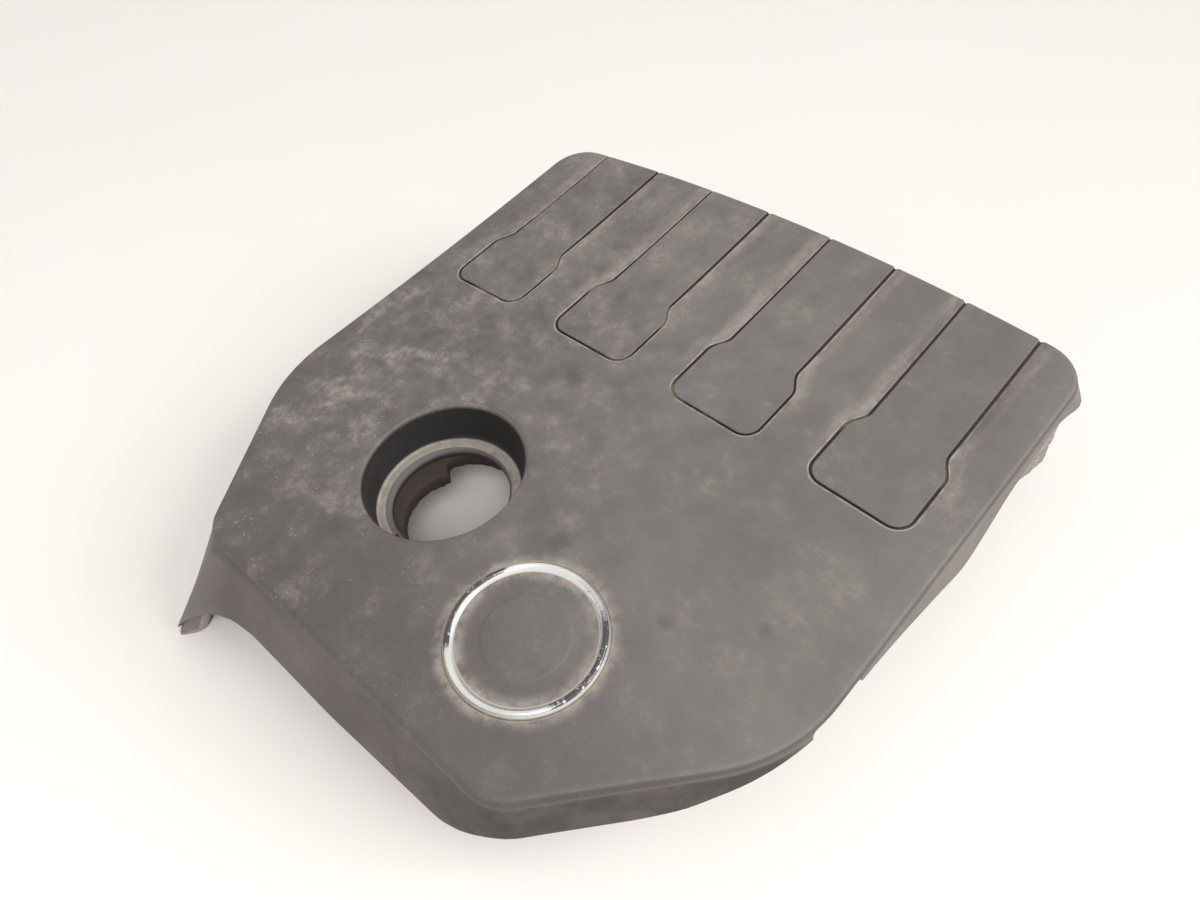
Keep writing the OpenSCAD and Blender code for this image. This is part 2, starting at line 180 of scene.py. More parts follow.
def cutWith(piece, cutter, operation="DIFFERENCE"):
    choose(piece)
    step = piece.modifiers.new("shape", "BOOLEAN")
    step.operation = operation
    step.solver = "EXACT"
    step.object = cutter
    bpy.ops.object.modifier_apply(modifier=step.name)
    bpy.data.objects.remove(cutter, do_unlink=True)
    bpy.ops.object.mode_set(mode="EDIT")
    bpy.ops.mesh.select_all(action="SELECT")
    bpy.ops.mesh.remove_doubles(threshold=weldReach)
    bpy.ops.mesh.dissolve_degenerate(threshold=weldReach)
    bpy.ops.object.mode_set(mode="OBJECT")


def joinInto(piece, others):
    choose(*others, piece)
    bpy.ops.object.join()


def smoothByAngle(piece, degrees):
    choose(piece)
    bpy.ops.object.shade_smooth_by_angle(angle=math.radians(degrees))


def circlePoints(radius, height, count):
    turn = 2 * math.pi / count
    return [(radius * math.cos(turn * k), radius * math.sin(turn * k), height)
            for k in range(count)]


# Rings of a turned profile of (radius, height), placed by a function of a point in mm
def turned(name, profile, place, count, ends="fill"):
    rings = [[place(*p) for p in circlePoints(r, z, count)] for r, z in profile]
    return ringPiece(name, rings, ends)


# the moulded cover

coverSize = {
    "rightWidth": 190, "leftWidth": 193.5, "leftBulge": 1.6,
    "rearY": 203, "rearBow": 6, "bowStart": 50,
    "frontY": 167, "shoulderY": 66, "frontRight": 104.5, "frontLeft": 122,
    "rearRadius": 23, "shoulderRadius": 92, "frontRadius": 27,
    "topFront": 70.7, "rearRise": 24, "riseBend": 0.71, "sideDrop": 7.6,
    "wall": 2.6, "middleY": 20,
    "rearSkirt": 22, "sideSkirt": 11, "sideDip": 28, "diagonalSkirt": 33,
    "frontSkirt": 46, "archSkirt": 41, "leftSkirt": 30,
    "legFlare": 46, "frontFlare": 14, "cornerFlare": 9,
    "notchY": -51, "notchLength": 36, "notchSkirt": 3,
    "outlineStep": 4.8, "towerZ": 40,
    "grommetRadius": 11.15, "grommetLength": 12.3, "towerWall": 2.8,
}

mountPlaces = [(-107, -130), (89.5, -130), (-139.5, 132), (136, 132)]


def topZ(x, y):
    s = coverSize
    t = (y + s["frontY"]) / (s["frontY"] + s["rearY"])
    rise = s["rearRise"] * ((1 - s["riseBend"]) * t + s["riseBend"] * t * t)
    return s["topFront"] + rise - s["sideDrop"] * (x / s["rightWidth"]) ** 2


legDepth = topZ(-coverSize["frontLeft"], -coverSize["frontY"])


# Tables by place round the outline: 0 is the rear right corner, 1 the right
# shoulder, 2 the front right corner, 3 the leg, 4 the left shoulder, 5 the rear left
def skirtTables():
    s = coverSize
    rear, side, dip = s["rearSkirt"], s["sideSkirt"], s["sideDip"]
    slant, front, arch, left = s["diagonalSkirt"], s["frontSkirt"], s["archSkirt"], s["leftSkirt"]
    leg, out, corner = s["legFlare"], s["frontFlare"], s["cornerFlare"]
    deep = [
        (0, rear), (0.19, side), (0.36, side + 1), (0.46, dip), (0.5, dip), (0.57, dip - 7.5),
        (0.69, side), (0.78, side - 3.5), (0.97, side - 3), (1.03, side), (1.1, slant * 0.5),
        (1.16, slant * 0.67), (1.26, slant * 0.91), (1.43, slant), (1.8, slant - 2),
        (1.86, slant - 4.5), (1.98, slant - 8), (2.08, slant - 5.5), (2.15, slant + 1),
        (2.22, front), (2.5, front + 2), (2.74, arch + 1), (2.8, arch), (2.85, arch + 0.5),
        (2.89, arch + 3), (2.925, arch + 8), (2.945, arch + 12), (2.96, legDepth), (3, legDepth),
        (3.06, legDepth - 2), (3.15, legDepth - 10), (3.3, left + 20), (3.6, left + 8),
        (4, left), (5.3, rear), (6, rear),
    ]
    wide = [
        (0, corner), (0.06, corner * 0.65), (0.12, corner * 0.3), (0.2, 0.6), (0.5, 3), (0.8, 0.6),
        (1.2, 2.6), (1.8, 3.5), (2, out - 7.5), (2.12, out - 6), (2.2, out - 1.8), (2.5, out + 1.7),
        (2.74, out + 2.6), (2.8, out + 5), (2.85, leg * 0.54), (2.9, leg * 0.71),
        (2.925, leg * 0.86), (2.95, leg + 1.5), (2.97, leg + 3), (3, leg * 0.95),
        (3.04, leg * 0.87), (3.075, leg * 0.81), (3.113, leg * 0.76), (3.15, leg * 0.72),
        (3.3, leg * 0.55), (3.6, leg * 0.28), (4, 3.4), (5, 3), (5.8, 3.5),
        (5.93, corner - 1), (6, corner),
    ]
    return deep, wide


# Radius from the top to the skirt: tight on the right, soft at the front and the left
edgeRadii = [(0, 3.4), (0.15, 3), (0.95, 3), (1.2, 3.6), (1.6, 4.4), (2.2, 4.6), (4.6, 5),
             (5.4, 4.2), (5.85, 3.4), (6, 3.4)]


def lookUp(table, s):
    for (s0, v0), (s1, v1) in zip(table, table[1:]):
        if s0 <= s <= s1:
            return v0 + (v1 - v0) * (s - s0) / (s1 - s0)
    return table[-1][1]


# Points (x, y, place) of the top's outline. Each corner's arc takes cornerShare of the
# place count on either side of it, whatever its length
cornerShare = 0.15


def coverOutline():
    s = coverSize
    corners = [
        (s["rightWidth"], s["rearY"], s["rearRadius"]),
        (s["rightWidth"] - 1, -s["shoulderY"], s["shoulderRadius"]),
        (s["frontRight"], -s["frontY"], s["frontRadius"]),
        (-s["frontLeft"], -s["frontY"], s["frontRadius"]),
        (-s["leftWidth"] - s["leftBulge"], -s["shoulderY"], s["shoulderRadius"]),
        (-s["leftWidth"], s["rearY"], s["rearRadius"]),
    ]
    arcs = []
    for i, (x, y, radius) in enumerate(corners):
        here = Vector((x, y))
        back = (Vector(corners[i - 1][:2]) - here).normalized()
        ahead = (Vector(corners[(i + 1) % 6][:2]) - here).normalized()
        half = math.acos(back.dot(ahead)) / 2
        middle = here + (back + ahead).normalized() * radius / math.sin(half)
        reach = radius / math.tan(half)
        start, stop = here + back * reach - middle, here + ahead * reach - middle
        first = math.atan2(start.y, start.x)
        turn = math.remainder(math.atan2(stop.y, stop.x) - first, 2 * math.pi)
        steps = max(14 if i == 3 else 7, round(radius * abs(turn) / s["outlineStep"]))
        arc = []
        for k in range(steps + 1):
            a = first + turn * k / steps
            arc.append((middle.x + radius * math.cos(a), middle.y + radius * math.sin(a),
                        i + cornerShare * (2 * k / steps - 1)))
        arcs.append(arc)
    points = []
    for i, arc in enumerate(arcs):
        points += arc
        (x0, y0, s0), (x1, y1, _) = arc[-1], arcs[(i + 1) % 6][0]
        s1 = i + 1 - cornerShare
        step = s["outlineStep"] * (0.6 if i == 2 else 1)
        steps = max(4, round(math.hypot(x1 - x0, y1 - y0) / step))
        points += [(x0 + (x1 - x0) * k / steps, y0 + (y1 - y0) * k / steps,
                    s0 + (s1 - s0) * k / steps) for k in range(1, steps)]
    bowed = []
    for x, y, place in points:
        blend = min(1, max(0, (y - s["rearY"] + s["bowStart"]) / s["bowStart"]))
        y += s["rearBow"] * blend * max(0, 1 - (x / s["leftWidth"]) ** 2)
        bowed.append((x, y, place % 6))
    return bowed


outline = coverOutline()
outlineCount = len(outline)


def blurred(values):
    for _ in range(2):
        values = [(values[k - 1] + 2 * values[k] + values[(k + 1) % len(values)]) / 4
                  for k in range(len(values))]
    return values


skirtDeep, skirtWide = skirtTables()
depths = blurred([lookUp(skirtDeep, p[2]) for p in outline])
flares = blurred([lookUp(skirtWide, p[2]) for p in outline])
radii = blurred([lookUp(edgeRadii, p[2]) for p in outline])
outward = []
for k in range(outlineCount):
    along = Vector(outline[(k + 1) % outlineCount][:2]) - Vector(outline[k - 1][:2])
    along.normalize()
    outward.append((-along.y, along.x))


# A ring on the rounded edge, degrees counted from the skirt up to the top
def edgeRing(degrees, inset=0):
    up, across = math.sin(math.radians(degrees)), math.cos(math.radians(degrees))
    least = 0.4
    ring = []
    for (x, y, _), (nx, ny), r in zip(outline, outward, radii):
        small = max(least, r - inset)
        out, down = small * across - r, r - small * up
        if inset and small == least:
            out, down = least * across - inset - least, inset + least - least * up
        x, y = x + nx * out, y + ny * out
        ring.append(Vector((x, y, topZ(x, y) - down)) * mm)
    return ring


def insideRing(share, down):
    ring = []
    for (x, y, _), (nx, ny), r in zip(outline, outward, radii):
        x = (x - nx * r) * share
        y = coverSize["middleY"] + (y - ny * r - coverSize["middleY"]) * share
        ring.append(Vector((x, y, topZ(x, y) - down)) * mm)
    return ring


# A ring on the skirt. Its share of the way down stops short of the lower edge by lift
def skirtRing(share, inset, lift=0):
    ring = []
    for (x, y, _), (nx, ny), depth, flare, r in zip(outline, outward, depths, flares, radii):
        reach = share * (1 - lift / (depth - r))
        out = flare * reach - inset
        z = max(0, topZ(x, y) - r - (depth - r) * reach)
        ring.append(Vector((x + nx * out, y + ny * out, z)) * mm)
    return ring


# From the middle of the top out to the edge, down the skirt, and back on the inside
def coverShellPiece():
    wall, lift, bevel = coverSize["wall"], 0.5, 0.45
    shares = (0.1, 0.2, 0.3, 0.4, 0.5, 0.6, 0.7, 0.8, 0.9, 0.96, 1)
    rings = [insideRing(k / 22, 0) for k in range(1, 23)]
    rings += [edgeRing(15 * k) for k in range(5, -1, -1)]
    rings += [skirtRing(k, 0, lift) for k in shares]
    rings += [skirtRing(1, bevel), skirtRing(1, wall - bevel)]
    rings += [skirtRing(k / 6, wall, lift) for k in range(6, 0, -1)]
    rings += [edgeRing(30 * k, wall) for k in range(3)]
    rings += [insideRing(k / 12, wall) for k in range(11, 0, -1)]
    return ringPiece("coverSkin", rings, ends="centre")


# A frame that lies on the top at x, y, with its heights along the top's normal
def topFrame(x, y):
    s = coverSize
    length = s["frontY"] + s["rearY"]
    share = (y + s["frontY"]) / length
    slopeX = -2 * s["sideDrop"] * x / s["rightWidth"] ** 2
    slopeY = s["rearRise"] * (1 - s["riseBend"] + 2 * s["riseBend"] * share) / length
    turn = (Matrix.Rotation(-math.atan(slopeX), 4, "Y")
            @ Matrix.Rotation(math.atan(slopeY), 4, "X"))
    where = Matrix.Translation(Vector((x, y, topZ(x, y))) * mm) @ turn

    def place(px, py, pz):
        return where @ (Vector((px, py, pz)) * mm)
    return place


# the four fingers at the rear

fingerSize = {
    "pitch": 91.4, "width": 45.3, "headWidth": 58, "headY": 55.2,
    "stepY": 93.3, "stepLength": 15, "headRadius": 10,
    "grooveWidth": 1.5, "grooveDepth": 1.75, "grooveEdge": 0.4,
    "channelDepth": 1.1, "channelWidth": 17, "channelStart": 76, "channelFade": 62,
    "rearEnd": 233, "nickProfile": [(3.6, 2), (2.7, -0.8), (1, -5)], "nickOut": 0.3,
}


def fingerLoop(middle, grow):
    s = fingerSize
    side = []
    rows = 12
    neckLength = s["rearEnd"] - s["stepY"] - s["stepLength"]
    for k in range(rows):
        side.append((s["width"] / 2 + grow, s["rearEnd"] - neckLength * k / rows))
    for k in range(9):
        f = k / 8
        half = (s["width"] + (s["headWidth"] - s["width"]) * (1 - math.cos(math.pi * f)) / 2) / 2
        side.append((half + grow, s["stepY"] + s["stepLength"] * (1 - f)))
    side.append((s["headWidth"] / 2 + grow, (s["stepY"] + s["headY"] + s["headRadius"]) / 2))
    for k in range(9):
        a = math.radians(90 * k / 8)
        side.append((s["headWidth"] / 2 - s["headRadius"] + (s["headRadius"] + grow) * math.cos(a),
                     s["headY"] + s["headRadius"] - (s["headRadius"] + grow) * math.sin(a)))
    side.append((s["headWidth"] / 6, s["headY"] - grow))
    loop = side + [(-x, y) for x, y in reversed(side)]
    return [(middle + x, y) for x, y in loop]


def grooveCutter(middle):
    s = fingerSize
    g, c, d = s["grooveWidth"] / 2, s["grooveEdge"], s["grooveDepth"]
    wide = g + c + 0.1
    section = [(-wide, 3), (-wide, 0.1), (-g, -c), (-g, -d),
               (g, -d), (g, -c), (wide, 0.1), (wide, 3)]
    rings = [[Vector((x, y, topZ(x, y) + h)) * mm for x, y in fingerLoop(middle, e)]
             for e, h in section]
    return ringPiece("grooveCutter", rings, ends="join")


def smoothStep(t):
    t = min(1, max(0, t))
    return t * t * (3 - 2 * t)


# A shallow channel beside the narrow part of a finger, deepest at the finger. The cutter
# stands clear of the top wherever it isn't meant to cut.
def channelCutter(middle, side):
    s, clear = fingerSize, 0.4
    rings = []
    for k in range(15):
        y = s["channelStart"] + (s["rearEnd"] - s["channelStart"]) * k / 14
        deep = (s["channelDepth"] + clear) * smoothStep((y - s["channelStart"]) / s["channelFade"])
        edge = s["width"] / 2
        if y < s["stepY"] + s["stepLength"]:
            f = min(1, max(0, (s["stepY"] + s["stepLength"] - y) / s["stepLength"]))
            edge += (s["headWidth"] - s["width"]) / 2 * (1 - math.cos(math.pi * f)) / 2
        ring = [(edge, 4)]
        for j in range(11):
            u = j / 10
            ring.append((edge + s["channelWidth"] * u, clear - deep * (1 - smoothStep(u * 1.06))))
        ring.append((edge + s["channelWidth"], 4))
        rings.append([Vector((middle + side * x, y, topZ(middle + side * x, y) + h)) * mm
                      for x, h in ring])
    return ringPiece("channelCutter", rings)


# the oil filler well

wellSize = {
    "x": -46.2, "y": -58.5, "rimRadius": 45.7, "rimRound": 2.6, "ledgeRadius": 41.3,
    "ledgeDepth": 22, "collarRadius": 33.9, "collarLength": 5.4, "leanX": 0.8, "leanY": -2.8,
}


# The well leans a little, so its lower rings are shifted
def wellPlace():
    s = wellSize
    upright = topFrame(s["x"], s["y"])

    def place(x, y, z):
        share = min(1.3, max(0, -z / s["ledgeDepth"]))
        return upright(x + s["leanX"] * share, y + s["leanY"] * share, z)
    return place


def wellPieces():
    s, wall = wellSize, coverSize["wall"]
    place = wellPlace()
    z, c = -s["ledgeDepth"], s["collarRadius"]
    rim = s["rimRadius"] + s["rimRound"]
    foot, end, thick = z - 2.2, z - s["collarLength"], 2.2
    cup = turned("wellCup", [
        (c - 1, -wall), (rim + 0.5, -wall / 2), (s["rimRadius"] + wall, -s["rimRound"] - wall),
        (s["ledgeRadius"] + wall, foot), (c + thick, foot), (c + thick, end), (c - 1, end)],
        place, 144, ends="join")
    profile = [(rim, 6)]
    for k in range(7):
        a = math.radians(15 * k)
        profile.append((rim - s["rimRound"] * math.sin(a), s["rimRound"] * (math.cos(a) - 1)))
    profile += [(s["ledgeRadius"] + 1.2, z + 3.2), (s["ledgeRadius"] + 0.5, z + 0.8),
                (s["ledgeRadius"] - 0.6, z), (c + 2.6, z), (c + 2, z - 0.25), (c + 0.4, z - 1.4),
                (c, z - 2), (c, z - 3.2), (c + 0.8, z - 3.5), (c + 0.8, z - 4.2), (c, z - 4.4),
                (c, z - 28)]
    hole = turned("wellHole", profile, place, 144)
    return cup, hole


# the round badge and its seat

badgeSize = {
    "x": 62, "y": -100, "diameter": 80, "bezelWidth": 5, "bezelHeight": 2.6,
    "seatDepth": 1, "seatGap": 0.25, "pinRadius": 1.6, "pinEnd": -4.1, "pinInset": 4,
    "pinHoleRadius": 1.8, "pinHoleEnd": -6,
}


def badgePlaces():
    s = badgeSize
    reach = s["diameter"] / 2 - s["bezelWidth"] - s["pinInset"]
    return [(reach * math.cos(math.radians(a)), reach * math.sin(math.radians(a)))
            for a in (30, 150, 270)]


def badgePin(name, px, py, start, end, radius):
    place = topFrame(badgeSize["x"], badgeSize["y"])
    return turned(name, [(radius, start), (radius, end)],
                  lambda x, y, z: place(x + px, y + py, z), 24)


def badgeSeat():
    s = badgeSize
    place = topFrame(s["x"], s["y"])
    r = s["diameter"] / 2 + s["seatGap"]
    profile = [(r + 0.5, 6), (r + 0.5, 0.1), (r, -0.4), (r, -s["seatDepth"])]
    return turned("badgeSeat", profile, place, 128)


# ribs, towers and glue pads under the skin

underSize = {
    "ribX": (-75, -35, 5, 45), "ribDrop": 16, "ribWall": 1.8, "ribEnd": -101, "crossRibY": -145,
    "webStart": 8.6, "webEnd": 14.1, "webDrop": 12, "boreLip": 3.15, "boreRelief": 4.7,
    "padRadius": 9, "edgeRadius": 6,
    "foamWidth": 179.5, "foamFront": -99, "foamRear": 171,
    "pads": ((-152.6, -39.6), (49.3, -39.6), (149.6, -39.6),
             (-152.6, 130.5), (-50.3, 130.5), (49.3, 130.5), (149.6, 130.5)),
}


# A box whose upper side follows the underside of the skin, inside the wall
def ribPiece(start, stop, low):
    choose()
    bpy.ops.mesh.primitive_cube_add(size=1)
    rib = bpy.context.object
    bpy.ops.object.mode_set(mode="EDIT")
    bpy.ops.mesh.select_all(action="SELECT")
    bpy.ops.mesh.subdivide(number_cuts=7)
    mesh = bmesh.from_edit_mesh(rib.data)
    along = Vector(stop) - Vector(start)
    across = Vector((-along.y, along.x)).normalized() * underSize["ribWall"]
    for vert in mesh.verts:
        flat = Vector(start) + along * (vert.co.x + 0.5) + across * vert.co.y
        high = topZ(flat.x, flat.y) - coverSize["wall"] / 2
        vert.co = Vector((flat.x, flat.y, low + (high - low) * (vert.co.z + 0.5))) * mm
    bmesh.update_edit_mesh(rib.data)
    bpy.ops.mesh.normals_make_consistent(inside=False)
    bpy.ops.object.mode_set(mode="OBJECT")
    return rib


# Upright rings of (radius, height) round x, y; without a height a ring lies in the skin
def standing(name, x, y, profile, count):
    rings = []
    for r, z in profile:
        ring = []
        for px, py, _ in circlePoints(r, 0, count):
            px, py = px + x, py + y
            high = topZ(px, py) - coverSize["wall"] / 2 if z is None else z
            ring.append(Vector((px, py, high)) * mm)
        rings.append(ring)
    return ringPiece(name, rings)


def towerPiece(x, y):
    s = coverSize
    bore, low = s["grommetRadius"], s["towerZ"] - 1
    outer, lip = bore + s["towerWall"], bore - underSize["boreLip"]
    roof = s["towerZ"] + s["grommetLength"]
    return standing("tower", x, y, [
        (lip, roof + underSize["boreRelief"]), (lip, roof), (bore, roof), (bore, low),
        (outer, low), (outer, None)], 48)


def padPiece(x, y):
    r = underSize["padRadius"]
    return standing("gluePad", x, y, [(r, foamTop(y)), (r, None)], 32)


def foamTop(y):
    s, c = underSize, coverSize
    length = s["foamRear"] - s["foamFront"]
    low = topZ(s["foamWidth"], s["foamFront"]) - s["edgeRadius"]
    high = topZ(c["rightWidth"], s["foamRear"]) - s["edgeRadius"]
    sag = c["rearRise"] * c["riseBend"] * (length / (c["frontY"] + c["rearY"])) ** 2 / 4
    return low - sag + (high - low) * (y - s["foamFront"]) / length


def underPieces():
    s, c = underSize, coverSize
    low, near, far = c["topFront"] - s["ribDrop"], s["webStart"], s["webEnd"]
    parts = [ribPiece((x, 7 - c["frontY"]), (x, s["ribEnd"]), low) for x in s["ribX"]]
    parts.append(ribPiece((8 - c["frontLeft"], s["crossRibY"]),
                          (c["frontRight"] - 10, s["crossRibY"]), low + 2))
    for x, y in mountPlaces:
        for side in (1, -1):
            for end in (1, -1):
                parts.append(ribPiece((x + near * end, y + near * side * end),
                                      (x + far * end, y + far * side * end),
                                      c["towerZ"] + s["webDrop"]))
        parts.append(towerPiece(x, y))
    parts += [padPiece(x, y) for x, y in s["pads"]]
    return parts


# The inner wall of the leg's foot, seen under the arch: a curved plate down to the ground
footSize = {
    "path": [(-139.6, -203.6, 0), (-132.6, -209.6, 0), (-128, -205.6, 0), (-124.6, -200.6, 0.5),
             (-124, -195.8, 1), (-127.4, -190.4, 1), (-134, -185.5, 1)],
    "lean": (3.4, 12.6, 20), "startShare": 0.2, "wall": 2.4,
}


# The path is a smooth curve through its points, and the plate is low where it starts
def footWall():
    s = footSize
    points = [Vector(p) for p in s["path"]]
    lean, last = Vector(s["lean"]), len(points) - 1
    behind = Vector((-0.6, 0.8, 0)) * s["wall"]
    rings = []
    for k in range(4 * last + 1):
        i = min(k // 4, last - 1)
        f = k / 4 - i
        before, here = points[max(0, i - 1)], points[i]
        ahead, after = points[i + 1], points[min(last, i + 2)]
        low = 0.5 * (2 * here + (ahead - before) * f
                     + (2 * before - 5 * here + 4 * ahead - after) * f * f
                     + (3 * here - before - 3 * ahead + after) * f ** 3)
        low.z = max(0, low.z)
        high = low + lean * (s["startShare"] + (1 - s["startShare"]) * smoothStep(k / 4))
        rings.append([v * mm for v in (low, high, high + behind, low + behind)])
    return ringPiece("footWall", rings)


# A box under the edge of the top, with its upper corners rounded
def notchCutter():
    s = coverSize
    wide, high, shift, rounding, far = 40, 30, 8, 4, 10 * mm
    choose()
    place = topFrame(s["rightWidth"], s["notchY"] + s["notchLength"] / 2)
    bpy.ops.mesh.primitive_cube_add(size=1)
    cutter = bpy.context.object
    bpy.ops.object.mode_set(mode="EDIT")
    mesh = bmesh.from_edit_mesh(cutter.data)
    for vert in mesh.verts:
        vert.co = place(shift + wide * vert.co.x, s["notchLength"] * vert.co.y,
                        -s["notchSkirt"] - high * (0.5 - vert.co.z))
    top = max(v.co.z for v in mesh.verts)
    for edge in mesh.edges:
        a, b = (v.co for v in edge.verts)
        edge.select = min(a.z, b.z) > top - far and abs(a.x - b.x) > far
    bmesh.update_edit_mesh(cutter.data)
    bpy.ops.mesh.bevel(offset=rounding * mm, segments=5)
    faceOutward(cutter)
    return cutter


# Height above the lower edge of the skirt in millimetres, kept on every point of the skin
def noteSkirtEdge(cover):
    flareShare, most = 0.7, 40
    spots = KDTree(outlineCount)
    for k, (x, y, _) in enumerate(outline):
        nx, ny = outward[k]
        reach = flares[k] * flareShare
        spots.insert((x + nx * reach, y + ny * reach, 0), k)
    spots.balance()
    notes = cover.data.attributes.new("aboveEdge", "FLOAT", "POINT")
    for vert, note in zip(cover.data.vertices, notes.data):
        _, k, _ = spots.find((vert.co.x / mm, vert.co.y / mm, 0))
        x, y, _ = outline[k]
        note.value = min(most, max(0, vert.co.z / mm - max(0, topZ(x, y) - depths[k])))


def makeCover():
    f, g = fingerSize, badgeSize
    cover = coverShellPiece()
    print("stage: cover skin,", len(cover.data.polygons), "faces")
    cup, hole = wellPieces()
    cutWith(cover, cup, "UNION")
    cutWith(cover, hole)
    middles = [(k - 1.5) * f["pitch"] for k in range(4)]
    for middle in middles:
        for side in (1, -1):
            cutWith(cover, channelCutter(middle, side))
    for middle in middles:
        cutWith(cover, grooveCutter(middle))
        # a small nick where each side of a groove reaches the rear edge
        for side in (1, -1):
            x = middle + side * f["width"] / 2
            y = max(py for px, py, _ in outline if abs(px - x) < 4)
            place = topFrame(x, y + f["nickOut"])
            cutWith(cover, turned("edgeNotch", f["nickProfile"], place, 24))
    cutWith(cover, badgeSeat())
    for px, py in badgePlaces():
        cutWith(cover, badgePin("pinHole", px, py, 3, g["pinHoleEnd"], g["pinHoleRadius"]))
    cutWith(cover, notchCutter())
    joinInto(cover, underPieces() + [footWall()])
    cover.name = "coverSkin"
    noteSkirtEdge(cover)
    smoothByAngle(cover, 34)
    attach(cover, "root")
    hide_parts("cover_shell")
    print("stage: cover finished,", len(cover.data.polygons), "faces")
    return cover


cover = makeCover()


# badge: a bright bezel with a plain stepped disc in it

def makeBadge():
    s = badgeSize
    place = topFrame(s["x"], s["y"])
    r, w, h = s["diameter"] / 2, s["bezelWidth"], s["bezelHeight"]
    profile = [(r - w - 1.5, -s["seatDepth"]), (r, -s["seatDepth"]), (r, 0.3), (r - 0.35, 0.8)]
    profile += [(r - 1.1, h - 0.75), (r - 1.35, h - 0.35), (r - 1.8, h - 0.08), (r - 2.3, h),
                (r - 2.9, h - 0.12), (r - 3.4, h - 0.5), (r - w, 0.55), (r - w - 0.15, 0.3),
                (r - w - 1.5, 0.2)]
    bezel = turned("badgeBezel", profile, place, 160, ends="join")
    smoothByAngle(bezel, 40)
    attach(bezel, "root")
    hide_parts("badge")

    inner = r - w - 0.1
    step = r * 0.55
    disc = turned("badgeDisc", [
        (0.5, -s["seatDepth"]), (inner - 1.5, -s["seatDepth"]), (inner - 1.45, 0.15),
        (inner - 0.1, 0.25), (inner - 0.4, 0.38), (inner - 6, 0.42), (step + 0.8, 0.5),
        (step + 0.3, 0.62), (step - 0.5, 1.02), (step - 1, 1.1), (step * 0.6, 1.3), (0.5, 1.5)],
        place, 128)
    pins = [badgePin("badgePin", px, py, 0.2 - s["seatDepth"], s["pinEnd"], s["pinRadius"])
            for px, py in badgePlaces()]
    joinInto(disc, pins)
    disc.name = "badgeDisc"
    smoothByAngle(disc, 40)
    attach(disc, "root")
    print("stage: badge")
    return bezel, disc


bezel, disc = makeBadge()


# acoustic foam: a merged copy of the solid with the torn edge of its filler opening,
# remeshed and roughened

foamSize = {
    "voxel": 2.1, "rough": 0.7, "tear": 1.6, "calmRadius": 40, "calmWidth": 10,
    "holeX": 4.4, "holeY": 1.4, "holeRadius": 32.6,
    "tongueX": 5, "tongueY": -8, "tongueRadius": 27.4, "tongueFrom": 151, "tongueTo": 330,
    "edgeTop": -28.2, "edgeLow": -38, "edgeOuter": 44, "edgeSeat": 36,
}


# Inner edge of the opening: a round hole, and a tongue that reaches into it on the left
def foamEdgePiece():
    s = foamSize
    place = topFrame(wellSize["x"], wellSize["y"])
    count = 120
    inner = []
    for k in range(count):
        a = 2 * math.pi * k / count
        degrees = math.degrees(a)
        if s["tongueFrom"] < degrees < s["tongueTo"]:
            mx, my, r = s["tongueX"], s["tongueY"], s["tongueRadius"]
        else:
            mx, my, r = s["holeX"], s["holeY"], s["holeRadius"]
        along = mx * math.cos(a) + my * math.sin(a)
        inner.append(along + math.sqrt(along * along - mx * mx - my * my + r * r))
    rings = []
    outer = [s["edgeOuter"]] * count
    for reach, z in ((outer, s["edgeTop"]), (outer, s["edgeLow"]),
                     (inner, s["edgeLow"]), (inner, s["edgeTop"])):
        ring = []
        for k, r in enumerate(reach):
            a = 2 * math.pi * k / count
            ring.append(place(r * math.cos(a), r * math.sin(a), z))
        rings.append(ring)
    return ringPiece("foamEdge", rings, ends="join")


def makeFoam():
    s = foamSize
    solid = frame["nodes"]["acoustic_foam"]
    foam = solid.copy()
    foam.data = solid.data.copy()
    foam.name = "foamBlock"
    foam.parent = None
    sceneNow.collection.objects.link(foam)
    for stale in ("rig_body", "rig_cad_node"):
        if stale in foam:
            del foam[stale]
    foam.data.materials.clear()
    choose(foam)
    bpy.ops.object.mode_set(mode="EDIT")
    bpy.ops.mesh.select_all(action="SELECT")
    bpy.ops.mesh.remove_doubles(threshold=weldReach)
    bpy.ops.object.mode_set(mode="OBJECT")
    place = topFrame(wellSize["x"], wellSize["y"])
    cutWith(foam, turned("widerHole", [(s["edgeSeat"], 20), (s["edgeSeat"], -80)], place, 64))
    cutWith(foam, foamEdgePiece(), "UNION")
    remesh = foam.modifiers.new("foamMesh", "REMESH")
    remesh.mode = "VOXEL"
    remesh.voxel_size = s["voxel"] * mm
    bpy.ops.object.modifier_apply(modifier=remesh.name)
    bpy.ops.object.mode_set(mode="EDIT")
    mesh = bmesh.from_edit_mesh(foam.data)
    moves = []
    well = Vector((wellSize["x"], wellSize["y"])) * mm
    for vert in mesh.verts:
        away = (vert.co.xy - well).length / mm
        rougher = 0.15 + 0.85 * smoothStep((away - s["calmRadius"]) / s["calmWidth"])
        fine = noise.noise(vert.co * 160)
        fibres = noise.noise(Vector((vert.co.x * 60, vert.co.y * 60, vert.co.z * 420)))
        torn = max(0, noise.noise(vert.co * 38 + Vector((3, 1, 7))) - 0.15)
        depth = (s["rough"] * (fine + fibres) + s["tear"] * torn) * rougher
        moves.append((vert, vert.co - vert.normal * depth * mm))
    for vert, there in moves:
        there.z = max(0, there.z)
        vert.co = there
    bmesh.update_edit_mesh(foam.data)
    bpy.ops.object.mode_set(mode="OBJECT")
    bpy.ops.object.shade_smooth()
    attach(foam, "root")
    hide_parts("acoustic_foam")
    print("stage: foam,", len(foam.data.polygons), "faces")
    return foam


foam = makeFoam()


# shader maths as expressions

